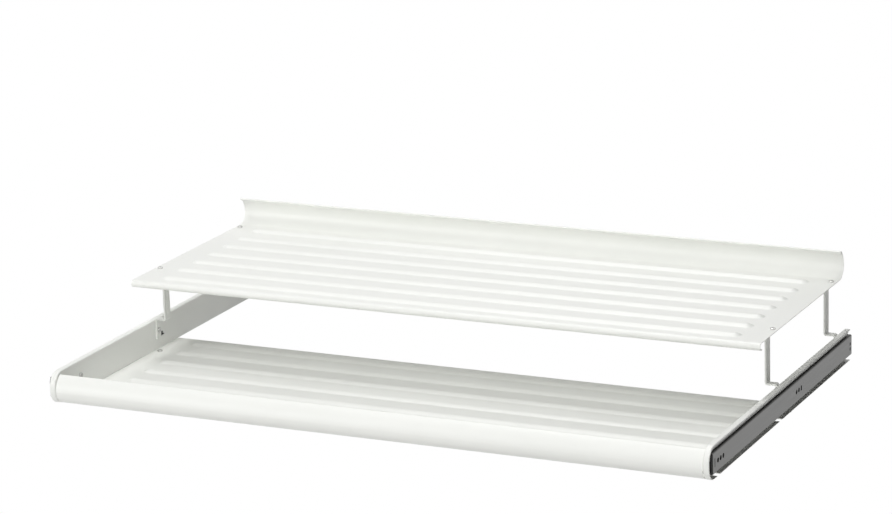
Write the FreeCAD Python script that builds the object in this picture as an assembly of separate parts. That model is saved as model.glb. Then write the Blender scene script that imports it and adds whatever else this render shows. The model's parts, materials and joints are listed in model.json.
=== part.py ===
import FreeCAD, Part
import math
import os

# Pull-out shoe rack for a wardrobe: two pressed steel shelves, stepped one above and behind the other,
# between two folded side panels that run on ball-bearing slides.
# Millimetres, +X to the right, +Y to the back, +Z up.
# Origin: middle of the footprint, at the level of the lowest edge (the lower shelf's rolled lip).
# "Depth" always means the distance behind the front of the side panels.

# ---- overall ----
RACK_WIDTH = 962.0              # over the outer faces of the two cabinet rails
RACK_DEPTH = 560.0              # front of the side panels to the back of the upper shelf's flange
TIER_GAP = 119.1                # underside of the lower shelf to the underside of the upper one

# ---- sheet shelves (both shelves are the same pressing, turned end for end) ----
SHELF_SHEET = 0.9
SHELF_DEPTH = 344.0
SHELF_SIDE_GAP = 0.8            # end of a shelf to the web of the side panel
SHELF_LIFT = 0.5                # underside of the lower shelf above the underside of the side panels
FLANGE_LOW_RADIUS = 18.5
FLANGE_TOP_RADIUS = 26.0
FLANGE_CREST_INSET = 12.0       # how far the flange's crest leans back from its outermost face
HEM_RADIUS = 1.3
HEM_RETURN = 4.0
LIP_RADIUS = 5.25
LIP_RETURN = 3.0
RIB_COUNT = 7
RIB_FROM_LIP = 28.0             # rolled lip to the middle of the first rib
RIB_FROM_FLANGE = 44.8          # middle of the last rib to the flange's outermost face
RIB_WIDTH = 22.0
RIB_HEIGHT = 3.5
RIB_SIDE_MARGIN = 34.0          # end of a rib to the end of the shelf
RIB_FOOT_RADIUS = 6.0

# ---- folded side panels ----
PANEL_SHEET = 1.2
PANEL_NOSE_LOW_RADIUS = 19.0
PANEL_NOSE_TOP_RADIUS = 20.0
PANEL_FLANGE_SETBACK = 1.8      # edge of a flange behind the outer face of the cabinet rail
PANEL_BEND_RADIUS = 2.0
PANEL_LIP = 6.3                 # top of the panel to the lower edge of the lip that stiffens its flange
PANEL_LIP_LEAN = 20.0           # degrees, how far the lip is folded in past upright
PANEL_LIP_BEND_RADIUS = 1.5
PANEL_LIP_ABOVE_RAIL = 0.5      # where the lip ends on the nose
PANEL_LIP_BACK_GAP = 8.0        # where it ends at the back
FRONT_LUG_DEPTH = 35.8          # middle of the lug, where the bottom flange gives way to it
REAR_LUG_FROM_LIP = 73.0        # middle of the rear lug to the lower shelf's rolled lip
LUG_WIDTH = 11.8
BEND_RELIEF = 1.0
RELIEF_HEIGHT = 2.6
LUG_REACH = 21.0                # how far a lug reaches in under the lower shelf
LUG_SCREW_INSET = 9.8           # lug screw to the web's inner face
PEEP_HOLE_FROM_BACK = 10.0      # small hole low in the back corner of the web
PEEP_HOLE_HEIGHT = 6.4
PEEP_HOLE_BORE = 4.0

# ---- brackets that carry the upper shelf ----
BRACKET_SHEET = 2.3
BRACKET_WIDTH = 15.1
BRACKET_FOOT_WIDTH = 10.0
BRACKET_STANDOFF = 14.6         # upper leg's outer face to the web's inner face
BRACKET_TAB_REACH = 10.5        # tab under the shelf, outward from the upper leg
BRACKET_TAB_SCREW = 6.3         # tab screw, outward from the upper leg
BRACKET_FRONT_FROM_LIP = 70.3   # upper shelf's rolled lip to the middle of the front pair
BRACKET_REAR_FROM_BACK = 32.0   # middle of the rear pair to the back of the rack
BRACKET_FOOT_DROP = 7.5         # foot's lower end below the middle of the rails
BRACKET_SCREW_RISE = 4.9        # foot screw above the middle of the rails
BRACKET_JOG_RISE = 1.5          # top of the jog above the side panels
BRACKET_BEND_INSIDE = 0.7
BEAD_RADIUS = 3.0
BEAD_PROUD = 1.0
BEAD_END_MARGIN = 7.8

# ---- ball-bearing slides ----
RAIL_DEPTH = 10.0               # thickness of a whole slide, wall to side panel
RAIL_SHEET = 1.2
RAIL_HEIGHT = 28.8
RAIL_GAP_BELOW = 9.6            # underside of the side panels to the rails
RAIL_GAP_ABOVE = 7.1            # rails to the top of the side panels
RAIL_FRONT = 7.5                # depth of the front ends of the rails
RAIL_BACK_GAP = 1.5             # back ends of the cabinet rails to the back of the side panels
RAIL_NOSE_CLEARANCE = 1.0
RAIL_BEND_RADIUS = 1.6
BALL_DIAMETER = 3.2
BALL_COUNT = 10                 # in each of a slide's two rows
BALL_PLAY = 0.05
RACE_DEPTH = 0.2
CAGE_LENGTH = 112.0             # the rack's travel is what the cage leaves of the rails' length
CAGE_SHEET = 0.5
CAGE_WALL_GAP = 0.8             # cage to the cabinet rail's back
CAGE_RAIL_GAP = 0.3             # cage to the drawer rail and to the cabinet rail's curled edge
CAGE_END_MARGIN = 8.0
CAGE_WINDOW_COUNT = 3
STOP_GAP = 0.5
STOP_TAB_LENGTH = 3.0
STOP_TAB_SETBACK = 7.0
BUFFER_HEAD_REACH = 4.1         # how far the front buffer stands out in front of the rails
BUFFER_REACH = 15.0             # how far it goes in behind their front ends
BUFFER_CLEARANCE = 0.4
BUFFER_TONGUE = (2.4, 11.5)     # slot in the cabinet rail that the front buffer clips into
BUFFER_TONGUE_SETBACK = 6.8
REAR_BUFFER_LENGTH = 10.5
REAR_BUFFER_INSET = 1.0
REAR_PEG = (4.5, 4.2)
REAR_PEG_SPACING = 7.3
REAR_PEG_DROP = 1.2             # middle of the two pegs below the middle of the rails
RAIL_HOLE = 6.4
RAIL_HOLE_PITCH = 9.6
RAIL_HOLES_SETBACK = 27.7       # front ends of the rails to the middle hole of the front group
RAIL_GROUP_SPACING = 300.0      # front group of holes to the middle group
RAIL_TALL_HOLE = (4.4, 7.0)     # last hole of the middle group, for setting the height
DRAWER_SCREW_FROM_FRONT = 60.5
DRAWER_SCREW_FROM_BACK = 41.5
HOOK_FROM_BRACKET = 10.4        # behind the middle of the front brackets
HOOK_DROP = 3.5                 # below the middle of the rails
HOOK_SLOT = (6.0, 6.5)
HOOK_TAB = (5.0, 1.2, 1.8)      # width, thickness, how far it stands in from the web
HOOK_TAB_RISE = 1.6             # bottom of the slot to the tab
HOOK_WINDOW_HEIGHT = 3.0        # opening in the drawer rail that the tab is bent out of

# ---- fasteners ----
SCREW_DIAMETER = 4.0
SCREW_CLEARANCE = 0.3
SCREW_PROUD = 0.6
HEAD_DIAMETER = 1.9 * SCREW_DIAMETER
HEAD_HEIGHT = 0.5 * SCREW_DIAMETER
HEAD_ROUND = 0.8
RECESS_WIDTH = 0.9
RECESS_SPAN = 4.2
RECESS_DEPTH = 1.1
NUT_WIDTH = 1.75 * SCREW_DIAMETER
NUT_HEIGHT = 0.55 * SCREW_DIAMETER

# ---- worked out ----
V = FreeCAD.Vector
FRONT = -RACK_DEPTH / 2
PANEL_BASE = 2 * LIP_RADIUS - SHELF_SHEET - SHELF_LIFT
PANEL_HEIGHT = RAIL_GAP_BELOW + RAIL_HEIGHT + RAIL_GAP_ABOVE
PANEL_TOP = PANEL_BASE + PANEL_HEIGHT
WALL_X = RACK_WIDTH / 2
WEB_OUTER = WALL_X - RAIL_DEPTH
WEB_INNER = WEB_OUTER - PANEL_SHEET
FLANGE_X = WALL_X - PANEL_FLANGE_SETBACK
SHELF_HALF = WEB_INNER - SHELF_SIDE_GAP
LOWER_SHELF_Z = PANEL_BASE + SHELF_LIFT
UPPER_SHELF_Z = LOWER_SHELF_Z + TIER_GAP
RAIL_Z = PANEL_BASE + RAIL_GAP_BELOW + RAIL_HEIGHT / 2
PANEL_LIP_LOW_Z = RAIL_Z + RAIL_HEIGHT / 2 + PANEL_LIP_ABOVE_RAIL
RAIL_BACK = RACK_DEPTH - RAIL_BACK_GAP
RAIL_LENGTH = RAIL_BACK - RAIL_FRONT
RIB_PITCH = (SHELF_DEPTH - RIB_FROM_LIP - RIB_FROM_FLANGE) / (RIB_COUNT - 1)
SCREW_HOLE = SCREW_DIAMETER + SCREW_CLEARANCE

LUG_DEPTHS = (FRONT_LUG_DEPTH, SHELF_DEPTH - REAR_LUG_FROM_LIP)
LUG_SCREW_X = WEB_INNER - LUG_SCREW_INSET
LEG_OUTER = WEB_INNER - BRACKET_STANDOFF
LEG_INNER = LEG_OUTER - BRACKET_SHEET
FOOT_INNER = WEB_INNER - BRACKET_SHEET
TAB_SCREW_X = LEG_OUTER + BRACKET_TAB_SCREW
FOOT_SCREW_OFFSET = (BRACKET_FOOT_WIDTH - BRACKET_WIDTH) / 2
BRACKET_DEPTHS = {
    "front": RACK_DEPTH - SHELF_DEPTH + BRACKET_FRONT_FROM_LIP,
    "rear": RACK_DEPTH - BRACKET_REAR_FROM_BACK,
}
FOOT_SCREW_DEPTHS = [depth + FOOT_SCREW_OFFSET for depth in BRACKET_DEPTHS.values()]
BRACKET_SCREW_Z = RAIL_Z + BRACKET_SCREW_RISE
HOOK_DEPTH = BRACKET_DEPTHS["front"] + HOOK_FROM_BRACKET
HOOK_LOW_Z = RAIL_Z - HOOK_DROP - HOOK_SLOT[1] / 2
HOOK_TAB_Z = HOOK_LOW_Z + HOOK_TAB_RISE

# slide section: t is the distance in from the wall, h the height from the rails' middle
CABINET_H = RAIL_HEIGHT / 2 - RAIL_SHEET
BALL_RADIUS = BALL_DIAMETER / 2
BALL_H = CABINET_H + RACE_DEPTH - BALL_PLAY - BALL_RADIUS
DRAWER_H = BALL_H - BALL_RADIUS - BALL_PLAY + RACE_DEPTH
CAGE_T = RAIL_SHEET + CAGE_WALL_GAP
BALL_T = CAGE_T + CAGE_SHEET + 5 * BALL_PLAY + BALL_RADIUS
CAGE_LEG_T = BALL_T + BALL_RADIUS
CURL_T = CAGE_LEG_T + CAGE_RAIL_GAP
CABINET_LIP_T = CURL_T + RAIL_SHEET
CAGE_H = BALL_H + CAGE_SHEET / 2
CURL_H = CAGE_H + CAGE_RAIL_GAP
DRAWER_LEG_T = CAGE_T + CAGE_SHEET + CAGE_RAIL_GAP
DRAWER_WEB_T = RAIL_DEPTH - RAIL_SHEET
BUFFER_T = DRAWER_WEB_T - NUT_HEIGHT - SCREW_PROUD - BUFFER_CLEARANCE

# depths along the slide
BUFFER_FRONT = RAIL_FRONT - BUFFER_HEAD_REACH
BUFFER_BACK = RAIL_FRONT + BUFFER_REACH
BUFFER_TONGUE_DEPTH = RAIL_FRONT + BUFFER_TONGUE_SETBACK
REAR_BUFFER_BACK = RAIL_BACK - REAR_BUFFER_INSET
REAR_BUFFER_FRONT = REAR_BUFFER_BACK - REAR_BUFFER_LENGTH
DRAWER_BACK = REAR_BUFFER_FRONT - STOP_GAP
DRAWER_SCREW_DEPTHS = (RAIL_FRONT + DRAWER_SCREW_FROM_FRONT, DRAWER_BACK - DRAWER_SCREW_FROM_BACK)
STOP_TAB_FRONT = DRAWER_BACK - STOP_TAB_SETBACK - STOP_TAB_LENGTH
TRAVEL = STOP_TAB_FRONT - BUFFER_BACK - CAGE_LENGTH - 2 * STOP_GAP
CAGE_FRONT = BUFFER_BACK + STOP_GAP + TRAVEL / 2
FRONT_GROUP_DEPTH = RAIL_FRONT + RAIL_HOLES_SETBACK
MID_GROUP_DEPTH = FRONT_GROUP_DEPTH + RAIL_GROUP_SPACING


# ---- small helpers ----
def box(x0, x1, depth0, depth1, z0, z1):
    """Block between two X values, two depths and two heights."""
    return Part.makeBox(x1 - x0, depth1 - depth0, z1 - z0, V(x0, FRONT + depth0, z0))


def rod(radius, length, start, direction):
    return Part.makeCylinder(radius, length, start, direction)


def fuse(pieces):
    return pieces[0].multiFuse(pieces[1:]).removeSplitter()


def cut(body, tools):
    return body.cut(tools).removeSplitter()


def mirrored(shape):
    """The same piece for the left side of the rack."""
    return shape.mirror(V(0, 0, 0), V(1, 0, 0))


def pair(shape):
    return [mirrored(shape), shape]


def arc_edge(centre, radius, start, end, x=0.0):
    """Arc in the plane X = x about centre (y, z), angles in degrees from +Y towards +Z."""
    def at(angle):
        turn = math.radians(angle)
        return V(x, centre[0] + radius * math.cos(turn), centre[1] + radius * math.sin(turn))
    return Part.Arc(at(start), at((start + end) / 2), at(end)).toShape()


def end_points(edge):
    return edge.valueAt(edge.FirstParameter), edge.valueAt(edge.LastParameter)


def closed_face(edges):
    """Face bounded by edges given in order, with straight lines closing any gap between them."""
    chain = []
    for edge, following in zip(edges, edges[1:] + edges[:1]):
        chain.append(edge)
        here = end_points(edge)[1]
        there = end_points(following)[0]
        if here.distanceToPoint(there) > 1e-7:
            chain.append(Part.makeLine(here, there))
    return Part.Face(Part.Wire(chain))


def ring_strip(centre, outer_radius, sheet, start, end, half_width):
    """Sheet bent about a line along X: a sector of a ring, half_width to each side of the middle."""
    outer = arc_edge(centre, outer_radius, start, end, -half_width)
    inner = arc_edge(centre, outer_radius - sheet, end, start, -half_width)
    return closed_face([outer, inner]).extrude(V(2 * half_width, 0, 0))


def long_edges(shape, wanted, axis):
    """Straight edges parallel to axis (0 X, 1 Y) whose other two coordinates are in wanted."""
    others = [i for i in range(3) if i != axis]
    found = []
    for edge in shape.Edges:
        start, end = end_points(edge)
        ends = [start[i] - end[i] for i in range(3)]
        if any(abs(ends[i]) > 1e-6 for i in others) or abs(ends[axis]) < 0.5:
            continue
        if any(all(abs(start[i] - spot[k]) < 1e-5 for k, i in enumerate(others)) for spot in wanted):
            found.append(edge)
    return found


def fillet_along(shape, radius, wanted, axis=1):
    return shape.makeFillet(radius, long_edges(shape, wanted, axis))


def save(name, shape):
    shape.exportStep(os.path.join("parts", name + ".step"))


# ---- shelves ----
def shelf_rib():
    """One pressed rib of full sheet thickness, about the origin, to fill a rib slot in the floor."""
    half = RIB_WIDTH / 2
    radii = (half ** 2 + RIB_HEIGHT ** 2) / (2 * RIB_HEIGHT)
    crest_radius = radii - RIB_FOOT_RADIUS
    crest_centre = (0.0, SHELF_SHEET + RIB_HEIGHT - crest_radius)
    foot_centre = (half, SHELF_SHEET + RIB_FOOT_RADIUS)
    lean = math.degrees(math.atan2(foot_centre[1] - crest_centre[1], half))
    run = SHELF_HALF - RIB_SIDE_MARGIN - half
    section = closed_face([
        arc_edge(crest_centre, crest_radius, 90, lean, run),
        arc_edge(foot_centre, RIB_FOOT_RADIUS, lean + 180, 270, run),
        arc_edge(foot_centre, RIB_FOOT_RADIUS + SHELF_SHEET, 270, lean + 180, run),
        arc_edge(crest_centre, crest_radius - SHELF_SHEET, lean, 90, run),
    ])
    straight = section.extrude(V(-2 * run, 0, 0))
    rounded = section.revolve(V(run, 0, 0), V(0, 0, 1), -180)
    other_side = straight.mirror(V(0, 0, 0), V(0, 1, 0))
    return fuse([straight, other_side, rounded, mirrored(rounded)])


def rib_slot():
    half = RIB_WIDTH / 2
    run = SHELF_HALF - RIB_SIDE_MARGIN - half
    ends = [rod(half, SHELF_SHEET, V(x, 0, 0), V(0, 0, 1)) for x in (-run, run)]
    middle = Part.makeBox(2 * run, RIB_WIDTH, SHELF_SHEET, V(-run, -half, 0))
    return fuse([middle] + ends)


def shelf(screw_spots):
    """Pressed shelf with its flange's outermost face at Y = 0 and the underside of its floor at Z = 0.

    screw_spots are (x, y) places of the screw holes in that frame."""
    low_centre = (FLANGE_LOW_RADIUS, FLANGE_LOW_RADIUS)
    top_centre = (FLANGE_TOP_RADIUS, FLANGE_LOW_RADIUS)
    crest = 180 - math.degrees(math.acos(1 - FLANGE_CREST_INSET / FLANGE_TOP_RADIUS))
    crest_turn = math.radians(crest)
    hem_reach = FLANGE_TOP_RADIUS - HEM_RADIUS
    hem_centre = (top_centre[0] + hem_reach * math.cos(crest_turn),
                  top_centre[1] + hem_reach * math.sin(crest_turn))
    hem = ring_strip(hem_centre, HEM_RADIUS, SHELF_SHEET, crest, crest - 180, SHELF_HALF)
    hem_return = Part.makeBox(2 * SHELF_HALF, SHELF_SHEET, HEM_RETURN)
    hem_return.translate(V(-SHELF_HALF, HEM_RADIUS - SHELF_SHEET, -HEM_RETURN))
    hem_return.rotate(V(0, 0, 0), V(1, 0, 0), crest - 180)
    hem_return.translate(V(0, hem_centre[0], hem_centre[1]))

    lip_centre = (SHELF_DEPTH - LIP_RADIUS, SHELF_SHEET - LIP_RADIUS)
    lip_return = Part.makeBox(2 * SHELF_HALF, LIP_RETURN, SHELF_SHEET)
    lip_return.translate(V(-SHELF_HALF, lip_centre[0] - LIP_RETURN, SHELF_SHEET - 2 * LIP_RADIUS))

    floor_start = V(-SHELF_HALF, FLANGE_LOW_RADIUS, 0)
    floor = Part.makeBox(2 * SHELF_HALF, lip_centre[0] - FLANGE_LOW_RADIUS, SHELF_SHEET, floor_start)
    rib = shelf_rib()
    slot = rib_slot()
    ribs = []
    slots = []
    for i in range(RIB_COUNT):
        place = V(0, SHELF_DEPTH - RIB_FROM_LIP - i * RIB_PITCH, 0)
        ribs.append(rib.translated(place))
        slots.append(slot.translated(place))
    holes = [rod(SCREW_HOLE / 2, SHELF_SHEET, V(x, y, 0), V(0, 0, 1)) for x, y in screw_spots]
    floor = floor.cut(slots + holes)
    return fuse([
        floor,
        ring_strip(low_centre, FLANGE_LOW_RADIUS, SHELF_SHEET, 180, 270, SHELF_HALF),
        ring_strip(top_centre, FLANGE_TOP_RADIUS, SHELF_SHEET, crest, 180, SHELF_HALF),
        hem,
        hem_return,
        ring_strip(lip_centre, LIP_RADIUS, SHELF_SHEET, 90, -90, SHELF_HALF),
        lip_return,
    ] + ribs)


def lower_shelf():
    spots = []
    for depth in LUG_DEPTHS:
        for x in (-LUG_SCREW_X, LUG_SCREW_X):
            spots.append((x, depth - SHELF_LIFT))
    return shelf(spots).translated(V(0, FRONT + SHELF_LIFT, LOWER_SHELF_Z))


def upper_shelf():
    spots = []
    for depth in BRACKET_DEPTHS.values():
        for x in (-TAB_SCREW_X, TAB_SCREW_X):
            spots.append((x, RACK_DEPTH - depth))
    turned = shelf(spots)
    turned.rotate(V(0, 0, 0), V(0, 0, 1), 180)
    return turned.translated(V(0, FRONT + RACK_DEPTH, UPPER_SHELF_Z))


# ---- side panels ----
def panel_outline(inset, back, x):
    """Side view of a panel: square at the back, a round nose of two radii at the front."""
    low = (FRONT + PANEL_NOSE_LOW_RADIUS, PANEL_BASE + PANEL_NOSE_LOW_RADIUS)
    top = (FRONT + PANEL_NOSE_TOP_RADIUS, PANEL_TOP - PANEL_NOSE_TOP_RADIUS)
    nose_top = arc_edge(top, PANEL_NOSE_TOP_RADIUS - inset, 90, 180, x)
    nose_low = arc_edge(low, PANEL_NOSE_LOW_RADIUS - inset, 180, 270, x)
    bottom_back = V(x, FRONT + back, PANEL_BASE + inset)
    top_back = V(x, FRONT + back, PANEL_TOP - inset)
    back_edge = Part.makeLine(bottom_back, top_back)
    return closed_face([nose_top, nose_low, back_edge])


def outline_bend(body, radius, inset, x):
    """Round the edge where the panel's outline, drawn in by inset, lies in the plane X = x."""
    outline = panel_outline(inset, RACK_DEPTH, x)
    edges = []
    for edge in body.Edges:
        middle = edge.valueAt((edge.FirstParameter + edge.LastParameter) / 2)
        at_back = edge.BoundBox.YMin > FRONT + RACK_DEPTH - 1e-3
        if not at_back and any(side.distToShape(Part.Vertex(middle))[0] < 1e-5 for side in outline.Edges):
            edges.append(edge)
    return body.makeFillet(radius, edges)


def panel_lug(depth):
    """Lug bent inward under the lower shelf, where the bottom flange is cut away."""
    y0 = depth - LUG_WIDTH / 2 + BEND_RELIEF
    y1 = depth + LUG_WIDTH / 2 - BEND_RELIEF
    top = LOWER_SHELF_Z
    bottom = top - PANEL_SHEET
    upright = box(WEB_INNER, WEB_OUTER, y0, y1, bottom, PANEL_BASE + RELIEF_HEIGHT)
    ledge = box(WEB_INNER - LUG_REACH, WEB_OUTER, y0, y1, bottom, top)
    lug = fuse([upright, ledge])
    lug = fillet_along(lug, PANEL_SHEET + 0.3, [(WEB_OUTER, bottom)])
    return fillet_along(lug, 0.4, [(WEB_INNER, top)])


def cross_hole(diameter, depth, z):
    """Cutter for a round hole through a web, along X."""
    return rod(diameter / 2, 4 * PANEL_SHEET, V(WEB_INNER - PANEL_SHEET, FRONT + depth, z), V(1, 0, 0))


def hook_box(width, x0, x1, z0, z1):
    """Block of that width along the rack's depth, in the middle of the hook slot."""
    return box(x0, x1, HOOK_DEPTH - width / 2, HOOK_DEPTH + width / 2, z0, z1)


def leaning_mouth(back, x):
    """Opening bounded by a face folded in from the panel's outline in the plane X = x."""
    inset = PANEL_LIP + PANEL_SHEET
    deep = x - inset * math.tan(math.radians(PANEL_LIP_LEAN))
    wires = [panel_outline(inset, back, deep).OuterWire, panel_outline(0.0, back, x).OuterWire]
    return Part.makeLoft(wires, True, True)


def folded_sheet():
    """Web with its flange all round, and the lip folded down and in from the flange along the top."""
    width = FLANGE_X - WEB_INNER
    lean = math.radians(PANEL_LIP_LEAN)
    lip_inner = FLANGE_X - PANEL_SHEET / math.cos(lean)
    beyond = RACK_DEPTH + 5
    body = panel_outline(0.0, RACK_DEPTH, WEB_INNER).extrude(V(width, 0, 0))
    inside = panel_outline(PANEL_SHEET, beyond, WEB_OUTER).extrude(V(width, 0, 0))
    room = panel_outline(PANEL_SHEET, beyond, WEB_OUTER).extrude(V(lip_inner - WEB_OUTER, 0, 0))
    room = room.cut(leaning_mouth(beyond + 1, lip_inner))
    mouth = panel_outline(PANEL_LIP, beyond, WEB_OUTER).extrude(V(width, 0, 0))
    body = body.cut([room, mouth, leaning_mouth(beyond, FLANGE_X)])
    corner_x = lip_inner - PANEL_SHEET * math.tan(lean)
    body = outline_bend(body, PANEL_BEND_RADIUS, 0.0, WEB_INNER)
    body = outline_bend(body, PANEL_BEND_RADIUS - PANEL_SHEET, PANEL_SHEET, WEB_OUTER)
    body = outline_bend(body, PANEL_LIP_BEND_RADIUS, 0.0, FLANGE_X)
    body = outline_bend(body, PANEL_LIP_BEND_RADIUS - PANEL_SHEET, PANEL_SHEET, corner_x)
    below_lip = box(WEB_OUTER, WALL_X, 0, beyond, PANEL_BASE, PANEL_LIP_LOW_Z)
    behind_lip = box(WEB_OUTER, WALL_X, RACK_DEPTH - PANEL_LIP_BACK_GAP, beyond, PANEL_BASE, PANEL_TOP)
    return body.cut([inside.common(below_lip), inside.common(behind_lip)])


def side_panel():
    body = folded_sheet()
    slot_width, slot_height = HOOK_SLOT
    cuts = [hook_box(slot_width, WEB_INNER - 1, WEB_OUTER + 1, HOOK_LOW_Z, HOOK_LOW_Z + slot_height)]
    for depth in LUG_DEPTHS:
        cuts.append(box(WEB_INNER - 1, WALL_X, depth - LUG_WIDTH / 2, depth + LUG_WIDTH / 2,
                        0, PANEL_BASE + RELIEF_HEIGHT))
    for depth in DRAWER_SCREW_DEPTHS:
        cuts.append(cross_hole(SCREW_HOLE, depth, RAIL_Z))
    for depth in FOOT_SCREW_DEPTHS:
        cuts.append(cross_hole(SCREW_HOLE, depth, BRACKET_SCREW_Z))
    cuts.append(cross_hole(PEEP_HOLE_BORE, RACK_DEPTH - PEEP_HOLE_FROM_BACK, PANEL_BASE + PEEP_HOLE_HEIGHT))
    body = body.cut(cuts)
    body = fuse([body] + [panel_lug(depth) for depth in LUG_DEPTHS])
    lug_holes = []
    for depth in LUG_DEPTHS:
        start = V(LUG_SCREW_X, FRONT + depth, LOWER_SHELF_Z - 2 * PANEL_SHEET)
        lug_holes.append(rod(SCREW_HOLE / 2, 3 * PANEL_SHEET, start, V(0, 0, 1)))
    return cut(body, lug_holes)


# ---- brackets ----
def capsule(radius, x, y, z0, z1):
    """Upright rod with round ends."""
    shaft = rod(radius, z1 - z0, V(x, y, z0), V(0, 0, 1))
    ends = [Part.makeSphere(radius, V(x, y, z)) for z in (z0, z1)]
    return shaft.multiFuse(ends).removeSplitter()


def bracket(depth):
    """Flat-bar bracket: tab under the upper shelf, upper leg, jog outward and foot on the web."""
    y0 = depth - BRACKET_WIDTH / 2
    y1 = depth + BRACKET_WIDTH / 2
    foot_back = y0 + BRACKET_FOOT_WIDTH
    tab_z = UPPER_SHELF_Z - BRACKET_SHEET
    jog_top = PANEL_TOP + BRACKET_JOG_RISE
    jog_low = jog_top - BRACKET_SHEET
    tab = box(LEG_INNER, LEG_OUTER + BRACKET_TAB_REACH, y0, y1, tab_z, UPPER_SHELF_Z)
    leg = box(LEG_INNER, LEG_OUTER, y0, y1, jog_low, UPPER_SHELF_Z)
    jog = box(LEG_INNER, WEB_INNER, y0, foot_back, jog_low, jog_top)
    foot = box(FOOT_INNER, WEB_INNER, y0, foot_back, RAIL_Z - BRACKET_FOOT_DROP, jog_top)
    body = fuse([tab, leg, jog, foot])
    outer_bends = [(LEG_INNER, UPPER_SHELF_Z), (LEG_INNER, jog_low), (WEB_INNER, jog_top)]
    body = fillet_along(body, BRACKET_BEND_INSIDE + BRACKET_SHEET, outer_bends)
    inner_bends = [(LEG_OUTER, tab_z), (LEG_OUTER, jog_top), (FOOT_INNER, jog_low)]
    body = fillet_along(body, BRACKET_BEND_INSIDE, inner_bends)

    middle = FRONT + depth
    bead_low = jog_top + BEAD_END_MARGIN
    bead_top = tab_z - BEAD_END_MARGIN
    bead_inset = BEAD_RADIUS - BEAD_PROUD
    bead = capsule(BEAD_RADIUS, LEG_INNER + bead_inset, middle, bead_low, bead_top)
    leg_core = box(LEG_INNER - BEAD_PROUD, LEG_OUTER, y0, y1, jog_top, tab_z)
    body = fuse([body, bead.common(leg_core)])
    groove = capsule(BEAD_RADIUS, LEG_OUTER + bead_inset, middle, bead_low, bead_top)
    tab_screw = rod(SCREW_DIAMETER / 2, 2 * BRACKET_SHEET, V(TAB_SCREW_X, middle, tab_z - 1), V(0, 0, 1))
    foot_screw = rod(SCREW_HOLE / 2, 2 * BRACKET_SHEET,
                     V(FOOT_INNER - 1, middle + FOOT_SCREW_OFFSET, BRACKET_SCREW_Z), V(1, 0, 0))
    return cut(body, [groove, tab_screw, foot_screw])


# ---- slides ----
def rail_box(t0, t1, h0, h1, depth0, depth1):
    """Block given in the slide's own section: t in from the right wall, h from the rails' middle."""
    return box(WALL_X - t1, WALL_X - t0, depth0, depth1, RAIL_Z + h0, RAIL_Z + h1)


def rail_spots(t, h):
    """The (x, z) places of the two edges at +h and -h, for fillets."""
    return [(WALL_X - t, RAIL_Z + h), (WALL_X - t, RAIL_Z - h)]


def inside_nose(shape):
    """Shape a front end to the round nose, clear of the flange that wraps it."""
    room = panel_outline(PANEL_SHEET + RAIL_NOSE_CLEARANCE, RACK_DEPTH, WEB_OUTER)
    return shape.common(room.extrude(V(RAIL_DEPTH, 0, 0)))


def race_cutters():
    radius = BALL_RADIUS + BALL_PLAY
    cutters = []
    for h in (-BALL_H, BALL_H):
        start = V(WALL_X - BALL_T, FRONT + RAIL_FRONT - 1, RAIL_Z + h)
        cutters.append(rod(radius, RAIL_LENGTH + 2, start, V(0, 1, 0)))
    return cutters


def hole_through_back(depth):
    start = V(WALL_X - RAIL_SHEET - 1, FRONT + depth, RAIL_Z)
    return rod(RAIL_HOLE / 2, RAIL_SHEET + 2, start, V(1, 0, 0))


def peg_slot(size, depth, h):
    """Block through the cabinet rail's back, size (along the rail, upright)."""
    return rail_box(0, RAIL_SHEET, h - size[1] / 2, h + size[1] / 2, depth - size[0] / 2, depth + size[0] / 2)


def buffer_tongue():
    return peg_slot(BUFFER_TONGUE, BUFFER_TONGUE_DEPTH, 0)


def rear_pegs():
    depth = (REAR_BUFFER_FRONT + REAR_BUFFER_BACK) / 2
    low = -REAR_PEG_DROP - REAR_PEG_SPACING / 2
    return [peg_slot(REAR_PEG, depth, h) for h in (low, low + REAR_PEG_SPACING)]


def cabinet_rail():
    outer = rail_box(0, CABINET_LIP_T, -RAIL_HEIGHT / 2, RAIL_HEIGHT / 2, RAIL_FRONT, RAIL_BACK)
    inner = rail_box(RAIL_SHEET, CURL_T, -CABINET_H, CABINET_H, RAIL_FRONT, RAIL_BACK)
    mouth = rail_box(CURL_T, CABINET_LIP_T, -CURL_H, CURL_H, RAIL_FRONT, RAIL_BACK)
    body = cut(outer, [inner, mouth])
    body = fillet_along(body, RAIL_BEND_RADIUS, rail_spots(0, RAIL_HEIGHT / 2))
    body = fillet_along(body, RAIL_BEND_RADIUS - RAIL_SHEET, rail_spots(RAIL_SHEET, CABINET_H))
    body = fillet_along(body, RAIL_SHEET, rail_spots(CABINET_LIP_T, RAIL_HEIGHT / 2))
    openings = race_cutters() + rear_pegs() + [buffer_tongue()]
    for depth in (FRONT_GROUP_DEPTH, MID_GROUP_DEPTH):
        openings.append(hole_through_back(depth - RAIL_HOLE_PITCH))
        openings.append(hole_through_back(depth))
    openings.append(hole_through_back(FRONT_GROUP_DEPTH + RAIL_HOLE_PITCH))
    openings.append(peg_slot(RAIL_TALL_HOLE, MID_GROUP_DEPTH + RAIL_HOLE_PITCH, 0))
    return inside_nose(cut(body, openings))


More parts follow.
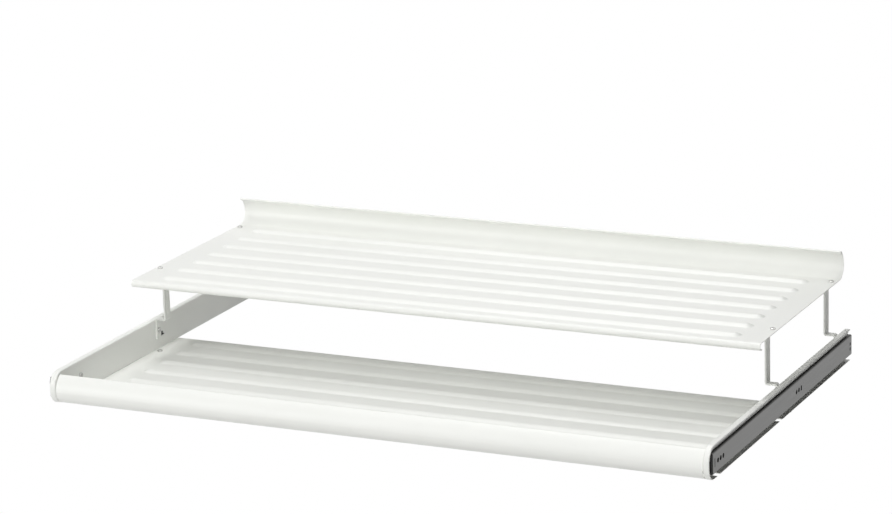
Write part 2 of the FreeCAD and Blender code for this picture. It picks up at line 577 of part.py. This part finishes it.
def drawer_rail():
    outer = rail_box(DRAWER_LEG_T, RAIL_DEPTH, -DRAWER_H, DRAWER_H, RAIL_FRONT, DRAWER_BACK)
    leg_h = DRAWER_H - RAIL_SHEET
    inner = rail_box(DRAWER_LEG_T, DRAWER_WEB_T, -leg_h, leg_h, RAIL_FRONT, DRAWER_BACK)
    body = cut(outer, [inner])
    body = fillet_along(body, RAIL_SHEET + 0.6, rail_spots(RAIL_DEPTH, DRAWER_H))
    body = fillet_along(body, 0.6, rail_spots(DRAWER_WEB_T, leg_h))
    tab_width, tab_sheet, tab_reach = HOOK_TAB
    tab_top = HOOK_TAB_Z + tab_sheet
    openings = race_cutters()
    openings.append(hook_box(tab_width, WEB_OUTER, WEB_OUTER + RAIL_SHEET, tab_top, tab_top + HOOK_WINDOW_HEIGHT))
    for depth in DRAWER_SCREW_DEPTHS:
        openings.append(cross_hole(SCREW_HOLE, depth, RAIL_Z))
    for depth in FOOT_SCREW_DEPTHS:
        openings.append(cross_hole(SCREW_HOLE, depth, BRACKET_SCREW_Z))
    body = inside_nose(cut(body, openings))
    tabs = [hook_box(tab_width, WEB_INNER - tab_reach, WEB_OUTER + RAIL_SHEET, HOOK_TAB_Z, tab_top)]
    for side in (-1, 1):
        low, high = sorted((side * (DRAWER_H - RAIL_SHEET / 2), side * (CAGE_H + CAGE_RAIL_GAP)))
        tabs.append(rail_box(BALL_T - 1, BALL_T + 1, low, high, STOP_TAB_FRONT, STOP_TAB_FRONT + STOP_TAB_LENGTH))
    return fuse([body] + tabs)


def ball_depths():
    first = CAGE_FRONT + CAGE_END_MARGIN
    pitch = (CAGE_LENGTH - 2 * CAGE_END_MARGIN) / (BALL_COUNT - 1)
    return [first + i * pitch for i in range(BALL_COUNT)]


def ball_cage():
    back = CAGE_FRONT + CAGE_LENGTH
    inner_h = CAGE_H - CAGE_SHEET
    outer = rail_box(CAGE_T, CAGE_LEG_T, -CAGE_H, CAGE_H, CAGE_FRONT, back)
    inner = rail_box(CAGE_T + CAGE_SHEET, CAGE_LEG_T, -inner_h, inner_h, CAGE_FRONT, back)
    body = cut(outer, [inner])
    body = fillet_along(body, CAGE_SHEET + 0.4, rail_spots(CAGE_T, CAGE_H))
    openings = []
    for depth in ball_depths():
        start = V(WALL_X - BALL_T, FRONT + depth, RAIL_Z - CAGE_H - 1)
        openings.append(rod(BALL_RADIUS + 3 * BALL_PLAY, 2 * CAGE_H + 2, start, V(0, 0, 1)))
    bay = (CAGE_LENGTH - CAGE_END_MARGIN) / CAGE_WINDOW_COUNT
    for i in range(CAGE_WINDOW_COUNT):
        window_front = CAGE_FRONT + CAGE_END_MARGIN + i * bay
        window_back = window_front + bay - CAGE_END_MARGIN
        openings.append(rail_box(0, CAGE_T + 1, -CAGE_H / 2, CAGE_H / 2, window_front, window_back))
    return cut(body, openings)


def balls():
    spots = []
    for depth in ball_depths():
        for h in (-BALL_H, BALL_H):
            spots.append(V(WALL_X - BALL_T, FRONT + depth, RAIL_Z + h))
    return [Part.makeSphere(BALL_RADIUS, spot) for spot in spots]


def front_buffer():
    """Nylon block clipped into the cabinet rail's front end, inside the drawer rail's channel.

    Its head stands in front of the rails, low enough for the drawer rail to pass over it."""
    h = DRAWER_H - RAIL_SHEET - BUFFER_CLEARANCE
    block = rail_box(RAIL_SHEET, BUFFER_T, -h, h, BUFFER_FRONT, BUFFER_BACK)
    block = fillet_along(block, 1.5, rail_spots(BUFFER_T, h))
    head_t = DRAWER_LEG_T - BUFFER_CLEARANCE
    head = rail_box(RAIL_SHEET, head_t, -CABINET_H, CABINET_H, BUFFER_FRONT, RAIL_FRONT)
    return inside_nose(fuse([block, head, buffer_tongue()]))


def rear_buffer():
    """Nylon block at the cabinet rail's back end that the drawer rail closes against."""
    block = rail_box(RAIL_SHEET, DRAWER_WEB_T, -DRAWER_H, DRAWER_H, REAR_BUFFER_FRONT, REAR_BUFFER_BACK)
    block = fillet_along(block, 1.5, rail_spots(DRAWER_WEB_T, DRAWER_H))
    return fuse([block] + rear_pegs())


# ---- fasteners ----
def pan_screw(grip):
    """Cross-recess pan-head screw, head above Z = 0 and shank down to Z = -grip."""
    head = rod(HEAD_DIAMETER / 2, HEAD_HEIGHT, V(0, 0, 0), V(0, 0, 1))
    rim = [e for e in head.Edges if e.BoundBox.ZMin > HEAD_HEIGHT - 1e-6]
    head = head.makeFillet(HEAD_ROUND, rim)
    shank = rod(SCREW_DIAMETER / 2, grip, V(0, 0, -grip), V(0, 0, 1))
    floor = HEAD_HEIGHT - RECESS_DEPTH
    recess = [
        Part.makeBox(RECESS_SPAN, RECESS_WIDTH, RECESS_DEPTH, V(-RECESS_SPAN / 2, -RECESS_WIDTH / 2, floor)),
        Part.makeBox(RECESS_WIDTH, RECESS_SPAN, RECESS_DEPTH, V(-RECESS_WIDTH / 2, -RECESS_SPAN / 2, floor)),
    ]
    return cut(fuse([head, shank]), recess)


def nut():
    """Hexagon nut with its bearing face on Z = 0, standing down to Z = -NUT_HEIGHT."""
    corner = NUT_WIDTH / math.sqrt(3)
    points = []
    for i in range(7):
        turn = math.radians(30 + 60 * i)
        points.append(V(corner * math.cos(turn), corner * math.sin(turn), 0))
    prism = Part.Face(Part.makePolygon(points)).extrude(V(0, 0, -NUT_HEIGHT))
    return prism.cut(rod(SCREW_DIAMETER / 2, NUT_HEIGHT, V(0, 0, -NUT_HEIGHT), V(0, 0, 1)))


def set_sideways(shape, x, depth, z):
    """Turn a screw or nut so that its head faces the middle of the rack, its Z = 0 face at x."""
    turned = shape.copy()
    turned.rotate(V(0, 0, 0), V(0, 1, 0), -90)
    return turned.translated(V(x, FRONT + depth, z))


def upright_group(shape, x, depths, z):
    group = []
    for depth in depths:
        for side in (-x, x):
            group.append(shape.translated(V(side, FRONT + depth, z)))
    return group


def sideways_group(shape, x, depths, z):
    group = []
    for depth in depths:
        group += pair(set_sideways(shape, x, depth, z))
    return group


def fasteners():
    nut_face = WEB_OUTER + RAIL_SHEET
    lower_top = LOWER_SHELF_Z + SHELF_SHEET
    upper_top = UPPER_SHELF_Z + SHELF_SHEET
    nutted = NUT_HEIGHT + SCREW_PROUD
    groups = {
        "lower_shelf_screws": upright_group(
            pan_screw(SHELF_SHEET + PANEL_SHEET + nutted), LUG_SCREW_X, LUG_DEPTHS, lower_top),
        "lower_shelf_nuts": upright_group(nut(), LUG_SCREW_X, LUG_DEPTHS, LOWER_SHELF_Z - PANEL_SHEET),
        "upper_shelf_screws": upright_group(
            pan_screw(SHELF_SHEET + BRACKET_SHEET + SCREW_PROUD), TAB_SCREW_X, BRACKET_DEPTHS.values(), upper_top),
        "bracket_screws": sideways_group(
            pan_screw(BRACKET_SHEET + PANEL_SHEET + RAIL_SHEET + nutted),
            FOOT_INNER, FOOT_SCREW_DEPTHS, BRACKET_SCREW_Z),
        "drawer_rail_screws": sideways_group(
            pan_screw(PANEL_SHEET + RAIL_SHEET + nutted), WEB_INNER, DRAWER_SCREW_DEPTHS, RAIL_Z),
        "bracket_nuts": sideways_group(nut(), nut_face, FOOT_SCREW_DEPTHS, BRACKET_SCREW_Z),
        "drawer_rail_nuts": sideways_group(nut(), nut_face, DRAWER_SCREW_DEPTHS, RAIL_Z),
    }
    return {name: Part.makeCompound(solids) for name, solids in groups.items()}


def build():
    """Every piece of the rack by node name."""
    nodes = {"lower_shelf": lower_shelf(), "upper_shelf": upper_shelf()}
    sided = {
        "side_panel": side_panel(),
        "cabinet_rail": cabinet_rail(),
        "drawer_rail": drawer_rail(),
        "ball_cage": ball_cage(),
        "slide_balls": Part.makeCompound(balls()),
        "front_buffer": front_buffer(),
        "rear_buffer": rear_buffer(),
    }
    for row, depth in BRACKET_DEPTHS.items():
        sided["shelf_bracket_" + row] = bracket(depth)
    for name, shape in sided.items():
        nodes[name + "_left"], nodes[name + "_right"] = pair(shape)
    nodes.update(fasteners())
    return nodes


os.makedirs("parts", exist_ok=True)
for node, solid in build().items():
    save(node, solid)
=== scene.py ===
import json
import math

import bpy
from mathutils import Matrix, Vector


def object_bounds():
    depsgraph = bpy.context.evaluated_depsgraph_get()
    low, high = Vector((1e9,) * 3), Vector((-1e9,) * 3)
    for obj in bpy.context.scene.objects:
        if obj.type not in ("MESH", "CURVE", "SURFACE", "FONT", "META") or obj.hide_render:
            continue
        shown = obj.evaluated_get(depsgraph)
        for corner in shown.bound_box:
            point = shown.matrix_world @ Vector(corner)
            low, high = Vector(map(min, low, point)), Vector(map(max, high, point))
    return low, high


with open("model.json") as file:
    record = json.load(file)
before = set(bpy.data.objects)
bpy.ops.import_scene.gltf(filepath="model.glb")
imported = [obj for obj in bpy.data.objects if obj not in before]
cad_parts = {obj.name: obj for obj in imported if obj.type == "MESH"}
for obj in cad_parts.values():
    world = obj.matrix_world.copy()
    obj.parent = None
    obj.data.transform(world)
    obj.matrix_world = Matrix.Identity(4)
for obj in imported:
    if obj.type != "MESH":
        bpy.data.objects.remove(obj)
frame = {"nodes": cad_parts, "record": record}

# Looks for the pull-out shoe rack: powder-coated sheet steel on zinc-plated ball-bearing slides.
# Metres, +X to the right, +Y to the back, +Z up, the same frame as the CAD.

CAD_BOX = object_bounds()

# ---- camera ----
SENSOR_WIDTH = 36.0             # millimetres
LENS = 137.3                    # millimetres
CAMERA_PLACE = Vector((1.9016, -4.0606, 1.4080))
CAMERA_AZIMUTH = 25.18          # degrees, 0 looks along +Y
CAMERA_ELEVATION = 15.21
CAMERA_ROLL = -1.665

# ---- room ----
FLOOR_DROP = 0.45               # the rack hangs in a wardrobe, this far above the floor
FLOOR_SIZE = 40.0
WORLD_LIGHT = 0.0               # strength of the sky for everything but the background
BACKGROUND = 1.0
LAMP_TARGET = Vector((0.0, 0.0, 0.08))

# ---- colours: the darkest and the lightest shade of each, linear ----
POWDER_COAT = ((0.888, 0.897, 0.862), (0.9, 0.907, 0.874))
BARE_STRIP = ((0.15, 0.15, 0.147), (0.175, 0.175, 0.172))
# painted shade: near-black zinc for the slides' flat-lying faces, standing in for the shade above
# the rails
FLAT_FACE_PAINTED_SHADE = ((0.012, 0.012, 0.011), (0.03, 0.03, 0.028))
CAGE_STEEL = ((0.42, 0.41, 0.38), (0.52, 0.51, 0.48))
BALL_STEEL = ((0.6, 0.6, 0.6), (0.7, 0.7, 0.71))
BRIGHT_ZINC = ((0.46, 0.46, 0.445), (0.6, 0.6, 0.585))
BLACK_NYLON = ((0.004, 0.004, 0.0045), (0.009, 0.009, 0.0095))
PALE_FLOOR = ((0.81, 0.81, 0.8), (0.83, 0.83, 0.82))


# ---- small helpers for node trees ----
def new_material(name):
    """Material with a Principled shader; returns it with its nodes, links and shader."""
    material = bpy.data.materials.new(name)
    material.use_nodes = True
    tree = material.node_tree
    return material, tree.nodes, tree.links, tree.nodes["Principled BSDF"]


def noise(nodes, links, scale, detail=3.0, stretch=(1.0, 1.0, 1.0)):
    """Noise in the piece's own coordinates, stretched by per-axis factors."""
    place = nodes.new("ShaderNodeTexCoord")
    mapping = nodes.new("ShaderNodeMapping")
    mapping.inputs["Scale"].default_value = stretch
    texture = nodes.new("ShaderNodeTexNoise")
    texture.inputs["Scale"].default_value = scale
    texture.inputs["Detail"].default_value = detail
    links.new(place.outputs["Object"], mapping.inputs["Vector"])
    links.new(mapping.outputs["Vector"], texture.inputs["Vector"])
    return texture.outputs["Fac"]


def ramp(nodes, links, factor, shades, start=0.35, end=0.65):
    """Blend from the first of two shades to the second as factor goes from start to end."""
    blend = nodes.new("ShaderNodeValToRGB")
    for element, position, shade in zip(blend.color_ramp.elements, (start, end), shades):
        element.position = position
        element.color = (*shade, 1.0)
    links.new(factor, blend.inputs["Fac"])
    return blend.outputs["Color"]


def span(nodes, links, factor, low, high, start=0.3, end=0.7):
    """Number that goes from low to high as factor goes from start to end."""
    scaled = nodes.new("ShaderNodeMapRange")
    scaled.inputs["From Min"].default_value = start
    scaled.inputs["From Max"].default_value = end
    scaled.inputs["To Min"].default_value = low
    scaled.inputs["To Max"].default_value = high
    links.new(factor, scaled.inputs["Value"])
    return scaled.outputs["Result"]


def dress(links, shader, colour, roughness, metallic=1.0):
    links.new(colour, shader.inputs["Base Color"])
    links.new(roughness, shader.inputs["Roughness"])
    shader.inputs["Metallic"].default_value = metallic


def bump(nodes, links, shader, height, strength, distance):
    relief = nodes.new("ShaderNodeBump")
    relief.inputs["Strength"].default_value = strength
    relief.inputs["Distance"].default_value = distance
    links.new(height, relief.inputs["Height"])
    links.new(relief.outputs["Normal"], shader.inputs["Normal"])


def flat_share(nodes, links):
    """0 where the surface stands upright in the piece's own frame, 1 where it lies flat."""
    place = nodes.new("ShaderNodeTexCoord")
    parts = nodes.new("ShaderNodeSeparateXYZ")
    size = nodes.new("ShaderNodeMath")
    size.operation = "ABSOLUTE"
    links.new(place.outputs["Normal"], parts.inputs["Vector"])
    links.new(parts.outputs["Z"], size.inputs[0])
    return size.outputs["Value"]


# ---- materials ----
def powder_coat():
    """White powder coat: faint unevenness in colour and gloss, and a fine orange peel."""
    material, nodes, links, shader = new_material("white powder coat")
    drift = noise(nodes, links, 7.0)
    colour = ramp(nodes, links, drift, POWDER_COAT)
    dress(links, shader, colour, span(nodes, links, drift, 0.34, 0.42), metallic=0.0)
    shader.inputs["Specular IOR Level"].default_value = 0.45
    bump(nodes, links, shader, noise(nodes, links, 700.0, detail=2.0), 0.06, 0.0003)
    return material


def zinc_strip():
    """Cold-rolled zinc-plated strip: fine lines along the rolling direction, the rack's depth.

    Flat-lying faces are far darker: painted shade for the gap over the rails; BARE_STRIP is plain
    zinc."""
    material, nodes, links, shader = new_material("zinc-plated strip")
    lines = noise(nodes, links, 40.0, detail=4.0, stretch=(12.0, 0.35, 12.0))
    colours = nodes.new("ShaderNodeMixRGB")
    # painted shade: faces that lie flat blend to the near-black shade, upright faces keep the plain
    # zinc
    links.new(flat_share(nodes, links), colours.inputs["Fac"])
    links.new(ramp(nodes, links, lines, BARE_STRIP), colours.inputs["Color1"])
    links.new(ramp(nodes, links, lines, FLAT_FACE_PAINTED_SHADE), colours.inputs["Color2"])
    dress(links, shader, colours.outputs["Color"], span(nodes, links, lines, 0.34, 0.46))
    bump(nodes, links, shader, lines, 0.08, 0.0002)
    return material


def thin_zinc():
    """Pressed cage strip, a little warmer and duller than the rails."""
    material, nodes, links, shader = new_material("pressed cage steel")
    mottle = noise(nodes, links, 120.0)
    colour = ramp(nodes, links, mottle, CAGE_STEEL)
    dress(links, shader, colour, span(nodes, links, mottle, 0.3, 0.42))
    return material


def ball_steel():
    """Ground bearing balls with a trace of grease."""
    material, nodes, links, shader = new_material("bearing balls")
    grease = noise(nodes, links, 260.0)
    colour = ramp(nodes, links, grease, BALL_STEEL)
    dress(links, shader, colour, span(nodes, links, grease, 0.06, 0.2))
    return material


def bright_zinc():
    """Zinc-plated screws and nuts."""
    material, nodes, links, shader = new_material("bright zinc fasteners")
    mottle = noise(nodes, links, 400.0)
    colour = ramp(nodes, links, mottle, BRIGHT_ZINC)
    dress(links, shader, colour, span(nodes, links, mottle, 0.28, 0.42))
    return material


def black_nylon():
    """Moulded black nylon with a fine matt grain."""
    material, nodes, links, shader = new_material("black nylon")
    grain = noise(nodes, links, 500.0)
    colour = ramp(nodes, links, grain, BLACK_NYLON)
    dress(links, shader, colour, span(nodes, links, grain, 0.55, 0.7), metallic=0.0)
    shader.inputs["Specular IOR Level"].default_value = 0.25
    bump(nodes, links, shader, grain, 0.15, 0.0002)
    return material


def dress_nodes():
    """Give every CAD node the finish of its material slot in the record."""
    finishes = {
        "white_steel": powder_coat(),
        "slide_steel": zinc_strip(),
        "cage_steel": thin_zinc(),
        "ball_steel": ball_steel(),
        "fastener_steel": bright_zinc(),
        "black_nylon": black_nylon(),
    }
    for part in frame["record"]["subparts"]:
        mesh = frame["nodes"][part["node"]].data
        mesh.materials.clear()
        mesh.materials.append(finishes[part["material_slot"]])


# ---- room ----
def background_rays(nodes, links):
    """1 where a ray should see the plain background instead of a lit surface."""
    path = nodes.new("ShaderNodeLightPath")
    total = path.outputs["Is Camera Ray"]
    for kind in ("Is Glossy Ray", "Is Transmission Ray"):
        either = nodes.new("ShaderNodeMath")
        either.operation = "MAXIMUM"
        links.new(total, either.inputs[0])
        links.new(path.outputs[kind], either.inputs[1])
        total = either.outputs["Value"]
    return total


def make_world():
    world = bpy.data.worlds.new("studio")
    world.use_nodes = True
    nodes = world.node_tree.nodes
    links = world.node_tree.links
    sky = nodes["Background"]
    sky.inputs["Color"].default_value = (1.0, 1.0, 1.0, 1.0)
    strength = nodes.new("ShaderNodeMapRange")
    strength.inputs["To Min"].default_value = WORLD_LIGHT
    strength.inputs["To Max"].default_value = BACKGROUND
    links.new(background_rays(nodes, links), strength.inputs["Value"])
    links.new(strength.outputs["Result"], sky.inputs["Strength"])
    bpy.context.scene.world = world


def make_floor():
    level = CAD_BOX[0].z - FLOOR_DROP
    bpy.ops.mesh.primitive_plane_add(size=FLOOR_SIZE, location=(0.0, 0.0, level))
    floor = bpy.context.object
    floor.name = "floor"
    material, nodes, links, shader = new_material("pale floor")
    tint = ramp(nodes, links, noise(nodes, links, 3.0), PALE_FLOOR)
    links.new(tint, shader.inputs["Base Color"])
    shader.inputs["Roughness"].default_value = 0.9
    glow = nodes.new("ShaderNodeEmission")
    glow.inputs["Strength"].default_value = BACKGROUND
    mix = nodes.new("ShaderNodeMixShader")
    output = nodes["Material Output"]
    links.new(background_rays(nodes, links), mix.inputs["Fac"])
    links.new(shader.outputs["BSDF"], mix.inputs[1])
    links.new(glow.outputs["Emission"], mix.inputs[2])
    links.new(mix.outputs["Shader"], output.inputs["Surface"])
    floor.data.materials.append(material)


def softbox(name, place, size, power):
    """Square area lamp at place, aimed at the rack, power in watts."""
    light = bpy.data.lights.new(name, "AREA")
    light.size = size
    light.energy = power
    lamp = bpy.data.objects.new(name, light)
    lamp.location = place
    lamp.rotation_mode = "QUATERNION"
    lamp.rotation_quaternion = (Vector(place) - LAMP_TARGET).to_track_quat("Z", "Y")
    bpy.context.scene.collection.objects.link(lamp)


def light_room():
    softbox("overhead", (-0.8, -0.1, 3.2), 1.2, 37.0)
    softbox("front high", (0.2, -2.6, 3.0), 1.6, 46.0)
    softbox("front high right", (1.1, -2.6, 3.0), 1.4, 19.0)
    softbox("front low", (0.3, -4.5, 0.9), 2.0, 14.0)
    softbox("low left", (-2.4, -3.4, 0.5), 1.6, 41.0)
    softbox("right", (3.0, -3.0, 1.4), 2.0, 17.0)
    softbox("back", (-0.6, 1.9, 2.8), 1.4, 25.0)


def make_camera():
    azimuth = math.radians(CAMERA_AZIMUTH)
    elevation = math.radians(CAMERA_ELEVATION)
    back = Vector((math.sin(azimuth) * math.cos(elevation),
                   -math.cos(azimuth) * math.cos(elevation),
                   math.sin(elevation)))
    roll = Matrix.Rotation(math.radians(CAMERA_ROLL), 3, "Z")
    turn = back.to_track_quat("Z", "Y").to_matrix() @ roll
    data = bpy.data.cameras.new("camera")
    data.sensor_width = SENSOR_WIDTH
    data.lens = LENS
    camera = bpy.data.objects.new("camera", data)
    camera.matrix_world = Matrix.Translation(CAMERA_PLACE) @ turn.to_4x4()
    bpy.context.scene.collection.objects.link(camera)
    bpy.context.scene.camera = camera


bpy.context.scene.view_settings.view_transform = "Standard"
dress_nodes()
make_world()
make_floor()
light_room()
make_camera()
